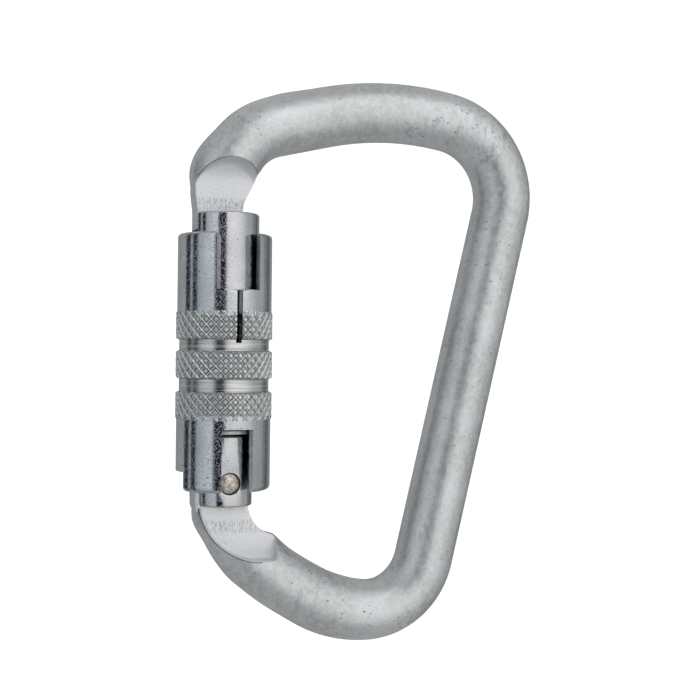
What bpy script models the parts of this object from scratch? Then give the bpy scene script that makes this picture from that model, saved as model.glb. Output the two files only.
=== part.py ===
"""A steel D-shaped locking carabiner with a three-way auto-locking gate.

Metres, +Z up. The gate's axis runs along Z, the spine is on the +X side and the front faces -Y.
The origin is the anchor seat: the inner apex of the top bow. Every piece is modelled from the
centre of the hinge rivet and placed there by its parent empty.
"""

import math

import bmesh
import bpy
from mathutils import Vector

MM = 0.001

# Where the rivet's centre lies, seen from the anchor seat.
RIVET_X = -36.1 * MM
RIVET_Z = -68.4 * MM

# Round bar of the body. The centreline is a line of corners with a bend radius at each inner one.
BAR_RADIUS = 6.0 * MM
BAR_SIDES = 24
BEND_STEP = math.radians(9)
STRAIGHT_STEP = 3.0 * MM
NOSE_START = (0.0, 46.5 * MM)
TOP_LEFT = (0.0, 67.4 * MM)
TOP_CROWN = (33.0 * MM, 75.6 * MM)
TOP_RIGHT = (63.3 * MM, 70.8 * MM)
BOTTOM_RIGHT = (40.4 * MM, -27.0 * MM)
BOTTOM_CROWN = (23.3 * MM, -27.0 * MM)
BOTTOM_LEFT = (0.0, -12.5 * MM)
HINGE_END = (0.0, 0.8 * MM)
BEND_RADII = (12.8 * MM, 65.0 * MM, 15.6 * MM, 13.0 * MM, 23.4 * MM, 23.6 * MM)

# How far the forged bar reaches from its centreline near its ends, as (distance from the end,
# reach): it bulges at the nose and the heel, thins in the bends and is plain round elsewhere.
NOSE_OUTER = (
    (6.0 * MM, 6.1 * MM), (9.0 * MM, 6.7 * MM), (13.0 * MM, 7.35 * MM), (20.0 * MM, 5.8 * MM),
    (26.0 * MM, 5.8 * MM), (31.0 * MM, 6.15 * MM), (38.0 * MM, 6.0 * MM),
)
HINGE_OUTER = (
    (3.0 * MM, 6.1 * MM), (6.5 * MM, 7.0 * MM), (11.0 * MM, 6.25 * MM), (16.0 * MM, 6.15 * MM),
    (21.0 * MM, 5.8 * MM), (27.0 * MM, 6.0 * MM),
)
HINGE_INNER = ((14.0 * MM, 6.0 * MM), (19.0 * MM, 6.3 * MM), (27.0 * MM, 6.15 * MM), (37.0 * MM, 6.5 * MM),
               (50.0 * MM, 6.0 * MM))

# Milled tongues at both ends of the bar.
TONGUE_THICKNESS = 4.8 * MM
TONGUE_EDGE = 6.1 * MM
CUTTER_DEPTH = 10.0 * MM
NOSE_EDGE = ((-6.1 * MM, 52.2 * MM), (-6.55 * MM, 56.0 * MM), (-6.5 * MM, 60.0 * MM))
NOSE_FLAT_RADIUS = 7.0 * MM
NOSE_FLAT_HEIGHT = 55.3 * MM
NOSE_INNER_EDGE = 2.8 * MM
NOSE_LOBE = ((2.8 * MM, 52.3 * MM), (3.2 * MM, 54.3 * MM), (4.1 * MM, 56.2 * MM), (5.0 * MM, 57.9 * MM),
             (5.6 * MM, 59.6 * MM), (7.2 * MM, 61.0 * MM))
HINGE_EDGE = ((7.0 * MM, -10.0 * MM), (3.0 * MM, -12.0 * MM), (-4.6 * MM, -8.0 * MM), (-6.0 * MM, -4.6 * MM))
HINGE_FLAT_RIGHT = 10.0 * MM
HINGE_FLAT_BOTTOM = -15.2 * MM
HINGE_FLAT_LEFT = -5.4 * MM
HINGE_FLAT_CORNER = 12.0 * MM
HINGE_FLAT_END_CORNER = 1.2 * MM
HINGE_LEDGE = -4.9 * MM
# How far a cutter runs on past the bar that it opens.
CUT_PAST = 1.2 * MM
HINGE_RELIEF_X = 11.1 * MM
HINGE_RELIEF_Z = -4.1 * MM
HINGE_RELIEF_RADIUS = 6.6 * MM

# The hinge tongue's end is a cam: its radius grows evenly with the angle the gate opens.
CAM_RADIUS = 5.0 * MM
CAM_RISE_PER_RADIAN = 2.4 * MM
CAM_SPAN = math.radians(27)
CAM_STEP = math.radians(6)

# Rivet, and the clearance that moving neighbours keep.
RIVET_RADIUS = 1.95 * MM
RIVET_HOLE_RADIUS = 2.15 * MM
RIVET_HALF_LENGTH = 5.6 * MM
RIVET_EDGE = 0.35 * MM
RIVET_DOME = 0.12 * MM
GAP = 0.3 * MM

# Gate barrel, bottom to top.
BARREL_BOTTOM = -4.6 * MM
BARREL_LOWER_RADIUS = 5.8 * MM
BARREL_LOWER_TOP = 9.1 * MM
BARREL_WAIST_RADIUS = 4.4 * MM
BARREL_SHOULDER = 32.2 * MM
BARREL_UPPER_RADIUS = 6.6 * MM
BARREL_TOP = 52.0 * MM
BARREL_EDGE = 0.5 * MM
FORK_TOP = 7.0 * MM
NOSE_SLOT_FLOOR = 47.0 * MM
PLUNGER_BORE_RADIUS = 1.95 * MM
PLUNGER_BORE_TOP = 24.0 * MM

# Locking sleeve. Angles are measured from the front (-Y), positive towards the spine (+X).
SLEEVE_BOTTOM = -1.5 * MM
SLEEVE_TOP = 47.9 * MM
SLEEVE_RADIUS = 9.15 * MM
SLEEVE_KNURL_RADIUS = 9.35 * MM
SLEEVE_GROOVE_RADIUS = 8.7 * MM
SLEEVE_BORE_RADIUS = 6.85 * MM
SLEEVE_TOP_EDGE = 0.7 * MM
SLEEVE_BOTTOM_EDGE = 0.9 * MM
KNURL_BANDS = ((12.1 * MM, 17.5 * MM), (20.0 * MM, 25.4 * MM), (27.5 * MM, 33.0 * MM))
FRONT_TURN = math.radians(4.5)
NOTCH_WIDTH = 8.6 * MM
NOTCH_FLOOR = 37.0 * MM
SLIT_WIDTH = 1.1 * MM
SLIT_BOTTOM = 26.9 * MM
WINDOW_WIDTH = 6.3 * MM
WINDOW_TOP = 10.5 * MM
OUTER_SLOT_TURN = math.radians(-104)
OUTER_SLOT_WIDTH = 10.4 * MM
OUTER_SLOT_TOP = 2.2 * MM
SLEEVE_LIFT = 4.0 * MM
SLEEVE_TWIST = math.radians(90)

# Guide pin at the back of the barrel and the pocket in the sleeve's bore that it runs in.
PIN_RADIUS = 0.9 * MM
PIN_HEIGHT = 5.5 * MM
PIN_INNER = 3.4 * MM
PIN_OUTER = 7.8 * MM
PIN_EDGE = 0.3 * MM
POCKET_RADIUS = 8.2 * MM

# Springs, washers and plunger.
WASHER_INNER = 4.75 * MM
WASHER_OUTER = 6.55 * MM
LIFT_WASHER = (9.4 * MM, 10.2 * MM)
SPRING_SEAT = (10.5 * MM, 12.3 * MM)
UPPER_WASHER = (31.3 * MM, 31.9 * MM)
SLEEVE_SPRING_RADIUS = 5.75 * MM
SLEEVE_SPRING_WIRE = 0.5 * MM
SLEEVE_SPRING_TURNS = 6
PLUNGER_RADIUS = 1.6 * MM
PLUNGER_TOP = 12.0 * MM
GATE_SPRING_RADIUS = 1.25 * MM
GATE_SPRING_WIRE = 0.28 * MM
GATE_SPRING_TURNS = 8

# How finely curves are divided.
ROUND_SEGMENTS = 48
SMALL_SEGMENTS = 24
RELIEF_SEGMENTS = 32
COIL_SEGMENTS = 14
WIRE_SIDES = 6
HALF_ROUND_STEPS = 16
CORNER_STEPS = 8
POCKET_STEPS = 12
DOME_STEPS = 5
EDGE_STEPS = 3
SMOOTH_ANGLE = math.radians(35)


def clear_scene():
    for old in list(bpy.data.objects):
        bpy.data.objects.remove(old, do_unlink=True)


def material(name, colour, roughness, metallic=1.0):
    made = bpy.data.materials.new(name)
    made.use_nodes = True
    shader = made.node_tree.nodes["Principled BSDF"]
    shader.inputs["Base Color"].default_value = (*colour, 1.0)
    shader.inputs["Roughness"].default_value = roughness
    shader.inputs["Metallic"].default_value = metallic
    return made


def parent_empty(name, location):
    empty = bpy.data.objects.new(name, None)
    empty.location = location
    bpy.context.scene.collection.objects.link(empty)
    return empty


def object_from(name, shape, finish, parent):
    """Turns a bmesh into a named object with its own material, under the given empty."""
    bmesh.ops.recalc_face_normals(shape, faces=shape.faces)
    mesh = bpy.data.meshes.new(name)
    shape.to_mesh(mesh)
    shape.free()
    mesh.shade_smooth()
    mesh.set_sharp_from_angle(angle=SMOOTH_ANGLE)
    if finish:
        mesh.materials.append(finish)
    made = bpy.data.objects.new(name, mesh)
    bpy.context.scene.collection.objects.link(made)
    made.parent = parent
    return made


def boolean(target, tool, operation):
    """Adds an exact Boolean. The tool is a helper and is left out of renders."""
    tool.hide_render = True
    tool.display_type = "WIRE"
    modifier = target.modifiers.new(f"{operation.lower()}_{tool.name}", "BOOLEAN")
    modifier.operation = operation
    modifier.solver = "EXACT"
    modifier.object = tool


def cut(target, tool):
    boolean(target, tool, "DIFFERENCE")


def arc(centre, radius, start, end, steps):
    """Points (across, up) on an arc, angles anticlockwise from the first axis, ends included."""
    points = []
    for step in range(steps + 1):
        angle = start + (end - start) * step / steps
        points.append((centre[0] + radius * math.cos(angle), centre[1] + radius * math.sin(angle)))
    return points


def circle(centre, radius, segments):
    return arc(centre, radius, 0, math.tau, segments)[:-1]


def bend(before, corner, after, radius):
    """The arc of a radius that rounds a corner between two straight runs."""
    corner = Vector(corner)
    back = (Vector(before) - corner).normalized()
    ahead = (Vector(after) - corner).normalized()
    half = back.angle(ahead) / 2
    start = corner + back * (radius / math.tan(half))
    end = corner + ahead * (radius / math.tan(half))
    centre = corner + (back + ahead).normalized() * (radius / math.sin(half))
    steps = max(2, round((math.pi - 2 * half) / BEND_STEP))
    points = []
    for step in range(steps + 1):
        spoke = (start - centre).slerp(end - centre, step / steps)
        points.append(tuple(centre + spoke.normalized() * radius))
    return points


def bar_centreline():
    corners = (NOSE_START, TOP_LEFT, TOP_CROWN, TOP_RIGHT, BOTTOM_RIGHT, BOTTOM_CROWN,
               BOTTOM_LEFT, HINGE_END)
    points = [NOSE_START]
    for index, radius in enumerate(BEND_RADII, start=1):
        points += bend(corners[index - 1], corners[index], corners[index + 1], radius)
    points.append(HINGE_END)
    line = [Vector(points[0])]
    for point in points[1:]:
        start = line[-1]
        run = Vector(point) - start
        steps = max(1, round(run.length / STRAIGHT_STEP))
        line += [start + run * step / steps for step in range(1, steps + 1)]
    return line


def reach_at(distance, stations):
    """The reach at a distance from the bar's end, eased between stations."""
    if distance <= stations[0][0]:
        return stations[0][1]
    for (start, first), (end, last) in zip(stations, stations[1:]):
        if distance <= end:
            share = (distance - start) / (end - start)
            return first + (last - first) * share * share * (3 - 2 * share)
    return stations[-1][1]


def bar(line):
    """The body's bar: a round section whose outer and inner halves reach as the stations say."""
    travelled = [0.0]
    for start, end in zip(line, line[1:]):
        travelled.append(travelled[-1] + (end - start).length)
    shape = tube([(x, 0.0, z) for x, z in line], BAR_RADIUS, BAR_SIDES, Vector((0, 1, 0)))
    shape.verts.ensure_lookup_table()
    for index, centre in enumerate(line):
        from_nose = travelled[index]
        from_hinge = travelled[-1] - travelled[index]
        nearer_nose = from_nose < from_hinge
        outer = reach_at(from_nose, NOSE_OUTER) if nearer_nose else reach_at(from_hinge, HINGE_OUTER)
        inner = BAR_RADIUS if nearer_nose else reach_at(from_hinge, HINGE_INNER)
        earlier = line[max(index - 1, 0)]
        later = line[min(index + 1, len(line) - 1)]
        along = (later - earlier).normalized()
        outward = Vector((-along.y, 0.0, along.x))
        middle = Vector((centre.x, 0.0, centre.y))
        for vert in shape.verts[index * BAR_SIDES:(index + 1) * BAR_SIDES]:
            side = (vert.co - middle).dot(outward)
            stretch = (outer if side > 0 else inner) / BAR_RADIUS
            vert.co += outward * side * (stretch - 1.0)
    return shape


def tube(points, radius, sides, level):
    """A round bar along points (x, y, z), with flat ends. Each ring starts square to level."""
    shape = bmesh.new()
    rings = []
    points = [Vector(point) for point in points]
    for index, point in enumerate(points):
        earlier = points[max(index - 1, 0)]
        later = points[min(index + 1, len(points) - 1)]
        along = (later - earlier).normalized()
        across = along.cross(level).normalized()
        out = along.cross(across)
        ring = []
        for side in range(sides):
            angle = math.tau * side / sides
            offset = across * math.cos(angle) + out * math.sin(angle)
            ring.append(shape.verts.new(point + offset * radius))
        rings.append(ring)
    for first, second in zip(rings, rings[1:]):
        for side in range(sides):
            beside = (side + 1) % sides
            shape.faces.new((first[side], first[beside], second[beside], second[side]))
    shape.faces.new(rings[0])
    shape.faces.new(rings[-1])
    return shape


def plate(outline, near, far):
    """An outline of (x, z) points, extruded along Y from near to far."""
    shape = bmesh.new()
    front = [shape.verts.new((x, near, z)) for x, z in outline]
    face = shape.faces.new(front)
    made = bmesh.ops.extrude_face_region(shape, geom=[face])
    moved = [item for item in made["geom"] if isinstance(item, bmesh.types.BMVert)]
    bmesh.ops.translate(shape, verts=moved, vec=(0, far - near, 0))
    return shape


def turned(profile, segments):
    """A closed profile of (radius, height) points, turned about Z. Radius 0 closes on the axis."""
    shape = bmesh.new()
    rings = []
    for radius, height in profile:
        if radius == 0:
            rings.append([shape.verts.new((0, 0, height))] * segments)
            continue
        ring = []
        for segment in range(segments):
            angle = math.tau * segment / segments
            ring.append(shape.verts.new((radius * math.cos(angle), radius * math.sin(angle), height)))
        rings.append(ring)
    for first, second in zip(rings, rings[1:] + rings[:1]):
        for segment in range(segments):
            beside = (segment + 1) % segments
            corners = [first[segment], first[beside], second[beside], second[segment]]
            unique = list(dict.fromkeys(corners))
            if len(unique) > 2:
                shape.faces.new(unique)
    return shape


def coil(radius, wire, turns, bottom, top):
    """A spring about Z, with its wire's centre running from bottom to top."""
    points = []
    for step in range(turns * COIL_SEGMENTS + 1):
        angle = math.tau * step / COIL_SEGMENTS
        height = bottom + (top - bottom) * step / (turns * COIL_SEGMENTS)
        points.append((radius * math.cos(angle), radius * math.sin(angle), height))
    return tube(points, wire, WIRE_SIDES, Vector((0, 0, 1)))


def front_cutter(name, width, bottom, top, turn, parent):
    """A block that reaches from the gate's axis out through the sleeve in one direction."""
    outline = [(-width / 2, bottom), (width / 2, bottom), (width / 2, top), (-width / 2, top)]
    tool = object_from(name, plate(outline, -CUTTER_DEPTH, -BARREL_WAIST_RADIUS), None, parent)
    tool.rotation_euler.z = turn
    return tool


def flat_cutters(name, outline, parent):
    """Two slabs that mill the bar down to its tongue, one on each side."""
    face = TONGUE_THICKNESS / 2
    front = object_from(f"{name}_front", plate(outline, -CUTTER_DEPTH, -face), None, parent)
    back = object_from(f"{name}_back", plate(outline, face, CUTTER_DEPTH), None, parent)
    return [front, back]


def nose_flat_outline():
    side = NOSE_FLAT_RADIUS + GAP
    top = arc((0.0, NOSE_FLAT_HEIGHT), NOSE_FLAT_RADIUS, 0, math.pi, HALF_ROUND_STEPS)
    below = NOSE_START[1] - GAP
    return [(side, below), (side, NOSE_FLAT_HEIGHT), *top, (-side, NOSE_FLAT_HEIGHT), (-side, below)]


def nose_relief_outline():
    """Material taken off the nose's inner side, so that the barrel's wall passes it."""
    below = NOSE_START[1] - GAP
    right = NOSE_LOBE[-1][0] + BAR_RADIUS
    return [(NOSE_INNER_EDGE, below), *NOSE_LOBE, (right, NOSE_LOBE[-1][1]), (right, below)]


def nose_end_outline():
    """Everything closer to the rivet than the path that the sleeve's top corner swings on."""
    swept = math.hypot(SLEEVE_TOP, SLEEVE_RADIUS) + GAP
    reach = math.asin((BAR_RADIUS + GAP) / swept)
    edge = arc((0.0, 0.0), swept, math.pi / 2 - reach, math.pi / 2 + reach, CORNER_STEPS)
    below = NOSE_START[1] - GAP
    return [*edge, (edge[-1][0], below), (edge[0][0], below)]


def hinge_flat_outline():
    """The flat is open on both sides beside the rivet. Below the ledge its outer edge curves in."""
    centre = (HINGE_FLAT_LEFT + HINGE_FLAT_CORNER, HINGE_FLAT_BOTTOM + HINGE_FLAT_CORNER)
    below_ledge = math.pi + math.asin((centre[1] - HINGE_LEDGE) / HINGE_FLAT_CORNER)
    sweep = arc(centre, HINGE_FLAT_CORNER, below_ledge, 1.5 * math.pi, CORNER_STEPS)
    small = HINGE_FLAT_END_CORNER
    end_centre = (HINGE_FLAT_RIGHT - small, HINGE_FLAT_BOTTOM + small)
    end = arc(end_centre, small, 1.5 * math.pi, math.tau, EDGE_STEPS)
    top = CAM_RADIUS + BAR_RADIUS
    side = -BAR_RADIUS - CUT_PAST
    return [(side, top), (side, HINGE_LEDGE), *sweep, *end, (HINGE_FLAT_RIGHT, top)]


def nose_plate_outline():
    """The nose tongue's core, with its square outer edge."""
    below = NOSE_START[1]
    return [(-TONGUE_EDGE, below), *NOSE_EDGE, (NOSE_INNER_EDGE, NOSE_FLAT_HEIGHT),
            (NOSE_INNER_EDGE, below)]


def hinge_plate_outline():
    """The hinge tongue's core: the cam round the rivet, then the square outer edge down to the heel."""
    return [*cam_outline(), *HINGE_EDGE]


def cam_outline():
    """The tongue's end round the rivet, from the outer side over the top to the inner side."""
    cam_end = CAM_RADIUS + CAM_RISE_PER_RADIAN * CAM_SPAN
    points = []
    steps = round(math.pi / CAM_STEP)
    for step in range(steps + 1):
        angle = -math.pi / 2 + math.pi * step / steps
        if angle < 0:
            radius = CAM_RADIUS + (TONGUE_EDGE - CAM_RADIUS) * -angle / (math.pi / 2)
        else:
            radius = min(CAM_RADIUS + CAM_RISE_PER_RADIAN * angle, cam_end)
        points.append((radius * math.sin(angle), radius * math.cos(angle)))
    return points


def make_frame(rivet):
    finish = material("galvanised_steel", (0.56, 0.57, 0.58), 0.42)
    frame = object_from("frame", bar(bar_centreline()), finish, rivet)
    face = TONGUE_THICKNESS / 2
    for name, outline in (("nose_plate", nose_plate_outline()), ("hinge_plate", hinge_plate_outline())):
        boolean(frame, object_from(name, plate(outline, -face, face), None, rivet), "UNION")
    tools = flat_cutters("nose_flat", nose_flat_outline(), rivet)
    tools += flat_cutters("hinge_flat", hinge_flat_outline(), rivet)
    through = {
        "nose_relief": nose_relief_outline(),
        "nose_end": nose_end_outline(),
        "hinge_relief": circle((HINGE_RELIEF_X, HINGE_RELIEF_Z), HINGE_RELIEF_RADIUS, RELIEF_SEGMENTS),
        "frame_rivet_hole": circle((0.0, 0.0), RIVET_HOLE_RADIUS, SMALL_SEGMENTS),
    }
    for name, outline in through.items():
        tools.append(object_from(name, plate(outline, -CUTTER_DEPTH, CUTTER_DEPTH), None, rivet))
    for tool in tools:
        cut(frame, tool)


def barrel_profile():
    edge = BARREL_EDGE
    return [
        (0, BARREL_BOTTOM), (BARREL_LOWER_RADIUS - edge, BARREL_BOTTOM),
        (BARREL_LOWER_RADIUS, BARREL_BOTTOM + edge), (BARREL_LOWER_RADIUS, BARREL_LOWER_TOP),
        (BARREL_WAIST_RADIUS, BARREL_LOWER_TOP), (BARREL_WAIST_RADIUS, BARREL_SHOULDER),
        (BARREL_UPPER_RADIUS, BARREL_SHOULDER), (BARREL_UPPER_RADIUS, BARREL_TOP - edge),
        (BARREL_UPPER_RADIUS - edge, BARREL_TOP), (0, BARREL_TOP),
    ]


def make_gate_barrel(rivet):
    finish = material("bright_steel", (0.66, 0.67, 0.69), 0.12)
    barrel = object_from("gate_barrel", turned(barrel_profile(), ROUND_SEGMENTS), finish, rivet)
    half = TONGUE_THICKNESS / 2 + GAP
    side = BARREL_UPPER_RADIUS + GAP
    fork = [(-side, BARREL_BOTTOM - GAP), (side, BARREL_BOTTOM - GAP), (side, FORK_TOP), (-side, FORK_TOP)]
    wall = NOSE_INNER_EDGE + GAP
    above = BARREL_TOP + GAP
    slot = [(-side, NOSE_SLOT_FLOOR), (wall, NOSE_SLOT_FLOOR), (wall, above), (-side, above)]
    hole = circle((0.0, 0.0), RIVET_HOLE_RADIUS, SMALL_SEGMENTS)
    cut(barrel, object_from("fork_slot", plate(fork, -half, half), None, rivet))
    cut(barrel, object_from("nose_slot", plate(slot, -half, half), None, rivet))
    cut(barrel, object_from("barrel_rivet_hole", plate(hole, -CUTTER_DEPTH, CUTTER_DEPTH), None, rivet))
    bore = [(0, FORK_TOP - GAP), (PLUNGER_BORE_RADIUS, FORK_TOP - GAP),
            (PLUNGER_BORE_RADIUS, PLUNGER_BORE_TOP), (0, PLUNGER_BORE_TOP)]
    cut(barrel, object_from("plunger_bore", turned(bore, SMALL_SEGMENTS), None, rivet))
    cut(barrel, guide_pin_tool("guide_pin_hole", rivet))


def along_y(name, profile, finish, parent):
    """A piece turned about the Y axis: the profile's heights run towards +Y."""
    made = object_from(name, turned(profile, SMALL_SEGMENTS), finish, parent)
    made.rotation_euler.x = -math.pi / 2
    return made


def guide_pin_tool(name, rivet):
    radius = PIN_RADIUS + GAP / 2
    profile = [(0, PIN_INNER - GAP), (radius, PIN_INNER - GAP), (radius, CUTTER_DEPTH), (0, CUTTER_DEPTH)]
    tool = along_y(name, profile, None, rivet)
    tool.location.z = PIN_HEIGHT
    return tool


def make_guide_pin(rivet):
    finish = material("hardened_pin_steel", (0.45, 0.45, 0.46), 0.3)
    profile = [(0, PIN_INNER), (PIN_RADIUS, PIN_INNER), (PIN_RADIUS, PIN_OUTER - PIN_EDGE),
               (PIN_RADIUS - PIN_EDGE, PIN_OUTER), (0, PIN_OUTER)]
    pin = along_y("guide_pin", profile, finish, rivet)
    pin.location.z = PIN_HEIGHT


def make_rivet(rivet):
    finish = material("nickelled_rivet", (0.62, 0.56, 0.49), 0.3)
    end = RIVET_HALF_LENGTH
    half = [(0, end), (RIVET_RADIUS - RIVET_EDGE, end - RIVET_DOME), (RIVET_RADIUS, end - RIVET_EDGE)]
    mirrored = [(radius, -height) for radius, height in reversed(half)]
    along_y("hinge_rivet", half + mirrored, finish, rivet)


def sleeve_profile():
    """The sleeve's wall: bore up, then the outside down, with the knurled bands standing proud."""
    edge = SLEEVE_TOP_EDGE
    outside = arc((SLEEVE_RADIUS - edge, SLEEVE_TOP - edge), edge, math.pi / 2, 0, EDGE_STEPS)
    ramp = SLEEVE_KNURL_RADIUS - SLEEVE_RADIUS
    for low, high in reversed(KNURL_BANDS):
        above = SLEEVE_RADIUS if high == KNURL_BANDS[-1][1] else SLEEVE_GROOVE_RADIUS
        below = SLEEVE_RADIUS if low == KNURL_BANDS[0][0] else SLEEVE_GROOVE_RADIUS
        outside += [(above, high + ramp), (SLEEVE_KNURL_RADIUS, high), (SLEEVE_KNURL_RADIUS, low),
                    (below, low - ramp)]
    chamfer = SLEEVE_BOTTOM_EDGE
    outside += [(SLEEVE_RADIUS, SLEEVE_BOTTOM + chamfer), (SLEEVE_RADIUS - chamfer, SLEEVE_BOTTOM)]
    return [(SLEEVE_BORE_RADIUS, SLEEVE_BOTTOM), (SLEEVE_BORE_RADIUS, SLEEVE_TOP), *outside]


def pocket_tool(parent):
    """The pocket in the bore that the guide pin sweeps as the sleeve lifts and twists."""
    margin = (PIN_RADIUS + GAP) / PIN_OUTER
    start = math.pi / 2 - margin
    end = math.pi / 2 + SLEEVE_TWIST + margin
    outer = arc((0.0, 0.0), POCKET_RADIUS, start, end, POCKET_STEPS)
    inner = arc((0.0, 0.0), BARREL_LOWER_RADIUS, end, start, POCKET_STEPS)
    low = PIN_HEIGHT - SLEEVE_LIFT - PIN_RADIUS - GAP
    high = PIN_HEIGHT + PIN_RADIUS + GAP
    tool = object_from("pin_pocket", plate([*outer, *inner], -high, -low), None, parent)
    tool.rotation_euler.x = -math.pi / 2
    return tool


def make_sleeve(rivet):
    finish = material("bright_knurled_steel", (0.68, 0.7, 0.72), 0.14)
    sleeve = object_from("locking_sleeve", turned(sleeve_profile(), ROUND_SEGMENTS), finish, rivet)
    above = SLEEVE_TOP + GAP
    below = SLEEVE_BOTTOM - GAP
    cut(sleeve, front_cutter("notch", NOTCH_WIDTH, NOTCH_FLOOR, above, FRONT_TURN, rivet))
    cut(sleeve, front_cutter("slit", SLIT_WIDTH, SLIT_BOTTOM, NOTCH_FLOOR + GAP, FRONT_TURN, rivet))
    cut(sleeve, front_cutter("window", WINDOW_WIDTH, below, WINDOW_TOP, FRONT_TURN, rivet))
    cut(sleeve, front_cutter("outer_slot", OUTER_SLOT_WIDTH, below, OUTER_SLOT_TOP, OUTER_SLOT_TURN, rivet))
    cut(sleeve, pocket_tool(rivet))


def make_ring(name, span, finish, parent):
    low, high = span
    profile = [(WASHER_INNER, low), (WASHER_INNER, high), (WASHER_OUTER, high), (WASHER_OUTER, low)]
    object_from(name, turned(profile, ROUND_SEGMENTS), finish, parent)


def make_rings(rivet):
    make_ring("lift_washer", LIFT_WASHER, material("washer_steel", (0.42, 0.45, 0.43), 0.35), rivet)
    make_ring("spring_seat", SPRING_SEAT, material("seat_steel", (0.5, 0.51, 0.52), 0.3), rivet)
    make_ring("upper_washer", UPPER_WASHER, material("black_polymer", (0.03, 0.03, 0.03), 0.5, 0.0), rivet)


def make_sleeve_spring(rivet):
    finish = material("sleeve_spring_steel", (0.35, 0.35, 0.36), 0.35)
    bottom = SPRING_SEAT[1] + GAP + SLEEVE_SPRING_WIRE
    top = UPPER_WASHER[0] - GAP - SLEEVE_SPRING_WIRE
    shape = coil(SLEEVE_SPRING_RADIUS, SLEEVE_SPRING_WIRE, SLEEVE_SPRING_TURNS, bottom, top)
    object_from("sleeve_spring", shape, finish, rivet)


def make_plunger(rivet):
    finish = material("plunger_steel", (0.5, 0.5, 0.5), 0.25)
    tip = CAM_RADIUS + GAP
    dome = arc((0.0, tip + PLUNGER_RADIUS), PLUNGER_RADIUS, -math.pi / 2, 0, DOME_STEPS)[1:]
    profile = [(0, tip), *dome, (PLUNGER_RADIUS, PLUNGER_TOP), (0, PLUNGER_TOP)]
    object_from("gate_plunger", turned(profile, SMALL_SEGMENTS), finish, rivet)


def make_gate_spring(rivet):
    finish = material("gate_spring_steel", (0.4, 0.4, 0.41), 0.35)
    bottom = PLUNGER_TOP + GAP + GATE_SPRING_WIRE
    top = PLUNGER_BORE_TOP - GAP - GATE_SPRING_WIRE
    shape = coil(GATE_SPRING_RADIUS, GATE_SPRING_WIRE, GATE_SPRING_TURNS, bottom, top)
    object_from("gate_spring", shape, finish, rivet)


def main():
    clear_scene()
    rivet = parent_empty("rivet_centre", (RIVET_X, 0, RIVET_Z))
    make_frame(rivet)
    make_gate_barrel(rivet)
    make_rivet(rivet)
    make_guide_pin(rivet)
    make_plunger(rivet)
    make_gate_spring(rivet)
    make_sleeve(rivet)
    make_rings(rivet)
    make_sleeve_spring(rivet)


main()
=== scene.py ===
# Looks of a steel locking carabiner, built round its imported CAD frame.
#
# Metres, +Z up. The gate's axis runs along Z, the spine is on the +X side and the front faces -Y.
# Heights along the gate are measured from the centre of the hinge rivet.

import math

import bmesh
import bpy
from mathutils import Matrix, Vector


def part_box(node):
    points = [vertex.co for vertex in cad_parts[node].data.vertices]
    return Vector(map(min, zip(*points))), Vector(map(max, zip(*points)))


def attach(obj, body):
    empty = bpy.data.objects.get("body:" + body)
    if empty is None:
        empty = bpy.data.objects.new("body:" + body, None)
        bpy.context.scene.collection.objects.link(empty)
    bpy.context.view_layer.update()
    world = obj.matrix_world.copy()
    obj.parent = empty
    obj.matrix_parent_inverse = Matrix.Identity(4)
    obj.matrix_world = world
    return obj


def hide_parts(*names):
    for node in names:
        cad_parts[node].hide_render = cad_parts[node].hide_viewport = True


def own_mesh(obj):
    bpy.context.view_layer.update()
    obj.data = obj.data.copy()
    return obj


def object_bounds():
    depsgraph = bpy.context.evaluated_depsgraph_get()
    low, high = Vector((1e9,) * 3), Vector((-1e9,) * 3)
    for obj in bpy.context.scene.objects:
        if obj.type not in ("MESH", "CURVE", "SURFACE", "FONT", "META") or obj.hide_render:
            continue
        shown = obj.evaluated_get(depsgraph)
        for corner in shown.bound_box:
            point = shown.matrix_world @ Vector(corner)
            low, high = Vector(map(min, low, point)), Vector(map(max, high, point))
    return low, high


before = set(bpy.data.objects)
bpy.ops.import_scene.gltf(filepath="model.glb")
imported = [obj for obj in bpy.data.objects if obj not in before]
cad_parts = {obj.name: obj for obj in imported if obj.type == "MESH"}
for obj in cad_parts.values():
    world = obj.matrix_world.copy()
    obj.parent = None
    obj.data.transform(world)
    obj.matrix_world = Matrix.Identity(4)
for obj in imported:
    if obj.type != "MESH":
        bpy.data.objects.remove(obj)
CAD_LOW, CAD_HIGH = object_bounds()

MM = 0.001


def in_mm(*points):
    """Points given in millimetres, as metres."""
    return tuple(tuple(value * MM for value in point) for point in points)


# ---------------------------------------------------------------- places read from the CAD frame
rivet_low, rivet_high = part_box("hinge_rivet")
sleeve_low, sleeve_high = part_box("locking_sleeve")
barrel_low, barrel_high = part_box("gate_barrel")
pin_low, pin_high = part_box("guide_pin")
plunger_low, plunger_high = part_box("gate_plunger")
RIVET = (rivet_low + rivet_high) / 2
RIVET.y = 0.0
RIVET_RADIUS = (rivet_high.x - rivet_low.x) / 2
RIVET_HALF = (rivet_high.y - rivet_low.y) / 2
SLEEVE_BOTTOM = sleeve_low.z - RIVET.z
SLEEVE_TOP = sleeve_high.z - RIVET.z
KNURL_RADIUS = (sleeve_high.y - sleeve_low.y) / 2
BARREL_BOTTOM = barrel_low.z - RIVET.z
BARREL_TOP = barrel_high.z - RIVET.z
UPPER_RADIUS = (barrel_high.y - barrel_low.y) / 2

# ---------------------------------------------------------------- body
BAR_RADIUS = 6.0 * MM
BAR_SIDES = 72
BEND_STEP = math.radians(2.5)
STRAIGHT_STEP = 1.5 * MM
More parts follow.
